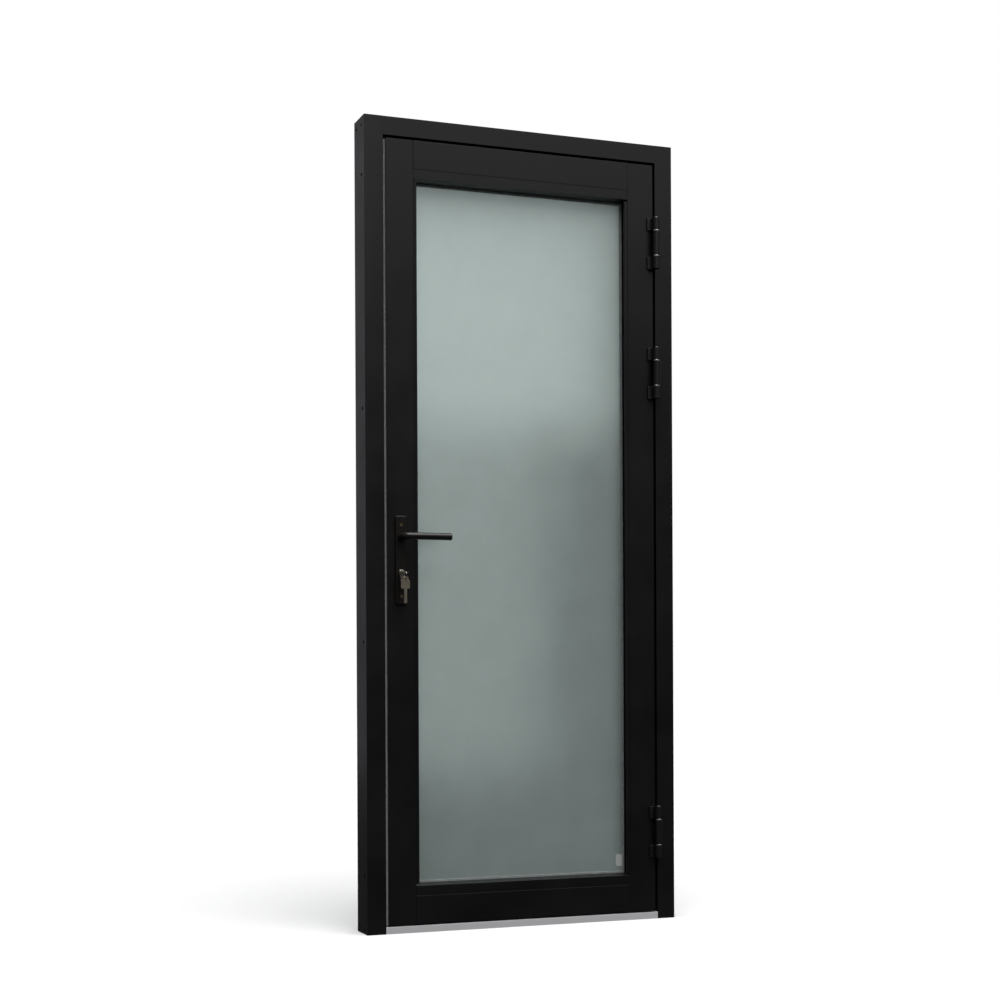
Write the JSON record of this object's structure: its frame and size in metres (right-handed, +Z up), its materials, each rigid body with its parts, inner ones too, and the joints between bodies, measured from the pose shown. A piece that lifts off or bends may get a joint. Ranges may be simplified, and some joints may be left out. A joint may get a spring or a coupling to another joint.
{
  "type": "glass door",
  "caption": "Black framed hinged door leaf with one frosted glass pane, lever handle, mortice lock with key and its own frame with silver sill.",
  "frame": {"origin": "middle of the sill's underside, halfway through the frame's depth", "axes": "+X from the lock side to the hinge side, +Y from the opening face to the back, +Z up"},
  "size_m": [0.87, 0.1644, 2.1],
  "materials": {
    "powder_black": "black powder coat, fine texture, satin",
    "sill_aluminium": "silver anodised, satin",
    "cast_aluminium": "cast, bare",
    "steel": "zinc plated",
    "washer_steel": "bright turned",
    "nickel": "nickel plated",
    "key_brass": "dulled nickel over brass",
    "handle_black": "black lacquer, semi-gloss",
    "hinge_black": "black lacquer, satin",
    "hinge_screw": "black oxide",
    "frosted_glass": "acid-etched, satin",
    "grey_gasket": "matt extruded",
    "seal_rubber": "matt extruded",
    "grey_pile": "woven pile",
    "dark_plastic": "moulded"
  },
  "bodies": {
    "root": {"jamb_lock": "powder_black", "jamb_hinge": "powder_black", "head": "powder_black", "sill": "sill_aluminium", "frame_screws": "steel", "seal_lock": "seal_rubber", "seal_hinge": "seal_rubber", "seal_head": "seal_rubber", "seal_sill": "seal_rubber", "strike_plate": "steel", "strike_box": "dark_plastic", "strike_screws": "steel", "hinge_top_frame_wing": "hinge_black", "hinge_upper_frame_wing": "hinge_black", "hinge_bottom_frame_wing": "hinge_black", "hinge_pins": "steel", "hinge_washers": "washer_steel", "hinge_screws_frame": "hinge_screw"},
    "leaf": {"stile_lock": "powder_black", "stile_hinge": "powder_black", "rail_top": "powder_black", "rail_bottom": "powder_black", "bead_top": "powder_black", "bead_bottom": "powder_black", "glass": "frosted_glass", "gasket_front": "grey_gasket", "gasket_back": "grey_gasket", "setting_blocks": "dark_plastic", "corner_blocks": "cast_aluminium", "corner_screws": "steel", "pile_strip": "grey_pile", "bottom_seal": "seal_rubber", "lock_case": "steel", "lock_cover": "steel", "forend": "steel", "forend_screws": "steel", "latch_spring": "steel", "cylinder_body": "nickel", "cylinder_plug_back": "nickel", "cylinder_screw": "steel", "plate_front": "handle_black", "plate_back": "handle_black", "plate_screws": "hinge_black", "hinge_top_door_wings": "hinge_black", "hinge_upper_door_wings": "hinge_black", "hinge_bottom_door_wings": "hinge_black", "hinge_screws_door": "hinge_screw"},
    "handle": {"lever_front": "handle_black", "lever_back": "handle_black", "spindle": "steel", "follower": "steel", "grub_screws": "steel"},
    "latch": {"latch_bolt": "steel"},
    "key_set": {"key": "key_brass", "key_ring": "nickel", "cylinder_plug_front": "nickel", "cylinder_cam": "steel"},
    "spare_key": {"spare_key": "key_brass"},
    "deadbolt": {"deadbolt": "nickel"}
  },
  "joints": [
    {"name": "door_swing", "type": "hinge", "parent": "root", "child": "leaf", "pos_m": [0.3815, -0.0605, 1], "axis": [0, 0, 1], "range_deg": [0, 170]},
    {"name": "handle_turn", "type": "hinge", "parent": "leaf", "child": "handle", "pos_m": [-0.342, -0.045, 1.02], "axis": [0, 1, 0], "range_deg": [0, 45], "stiffness_Nm_per_rad": 2, "springref_deg": -22.92},
    {"name": "latch_slide", "type": "slide", "parent": "leaf", "child": "latch", "axis": [1, 0, 0], "range_m": [0, 0.0055]},
    {"name": "key_turn", "type": "hinge", "parent": "leaf", "child": "key_set", "pos_m": [-0.342, -0.045, 0.928], "axis": [0, -1, 0], "range_deg": [-94, 94]},
    {"name": "deadbolt_slide", "type": "slide", "parent": "leaf", "child": "deadbolt", "axis": [-1, 0, 0], "range_m": [-0.007, 0.007]},
    {"name": "spare_key_swing", "type": "hinge", "parent": "key_set", "child": "spare_key", "pos_m": [-0.342, -0.0838, 0.9127], "axis": [0, -1, 0], "range_deg": [-94, 94]}
  ],
  "couplings": [
    {"joint": "latch_slide", "follows": "handle_turn", "m_per_rad": 0.006996},
    {"joint": "key_turn", "follows": "deadbolt_slide", "rad_per_m": 224.39},
    {"joint": "spare_key_swing", "follows": "deadbolt_slide", "rad_per_m": -224.39}
  ]
}
